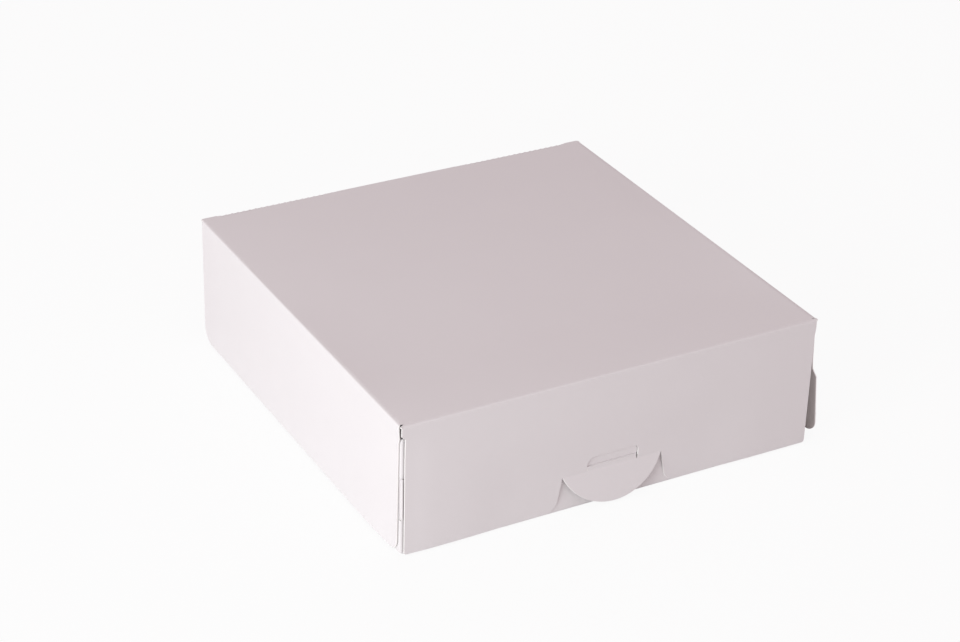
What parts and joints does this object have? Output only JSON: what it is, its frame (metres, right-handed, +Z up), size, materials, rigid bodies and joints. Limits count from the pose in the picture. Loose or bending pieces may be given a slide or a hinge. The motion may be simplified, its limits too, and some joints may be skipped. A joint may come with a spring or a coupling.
{
  "type": "cake box",
  "caption": "Low square folded paperboard box with a hinged lid, side flaps and a front flap that locks with a curved tab.",
  "frame": {"origin": "centre of the underside of the tray's base", "axes": "+Z up through the lid, -Y towards the front flap with the lock tab, +Y towards the lid's hinge, +X to the right seen from the front"},
  "size_m": [0.2107, 0.2099, 0.063],
  "materials": {
    "board": "smooth clay-coated white face",
    "board_inside": "white board, coated outside and dull inside"
  },
  "bodies": {
    "tray": {"tray": "board_inside"},
    "lid": {"lid": "board"},
    "left_flap": {"left_flap": "board"},
    "right_flap": {"right_flap": "board"},
    "front_flap": {"front_flap": "board"},
    "lock_tab": {"lock_tab": "board"}
  },
  "joints": [
    {"name": "lid_hinge", "type": "hinge", "parent": "tray", "child": "lid", "pos_m": [0, 0.102, 0.063], "axis": [-1, 0, 0], "range_deg": [0, 180]},
    {"name": "left_flap_fold", "type": "hinge", "parent": "lid", "child": "left_flap", "pos_m": [-0.1016, 0, 0.063], "axis": [0, 1, 0], "range_deg": [0, 89.5]},
    {"name": "right_flap_fold", "type": "hinge", "parent": "lid", "child": "right_flap", "pos_m": [0.1016, 0, 0.063], "axis": [0, -1, 0], "range_deg": [-6, 83]},
    {"name": "front_flap_fold", "type": "hinge", "parent": "lid", "child": "front_flap", "pos_m": [0, -0.1037, 0.063], "axis": [-1, 0, 0], "range_deg": [0, 90]},
    {"name": "tab_crease", "type": "hinge", "parent": "front_flap", "child": "lock_tab", "pos_m": [0, -0.1037, 0.017], "axis": [-1, 0, 0], "range_deg": [0, 75]}
  ]
}
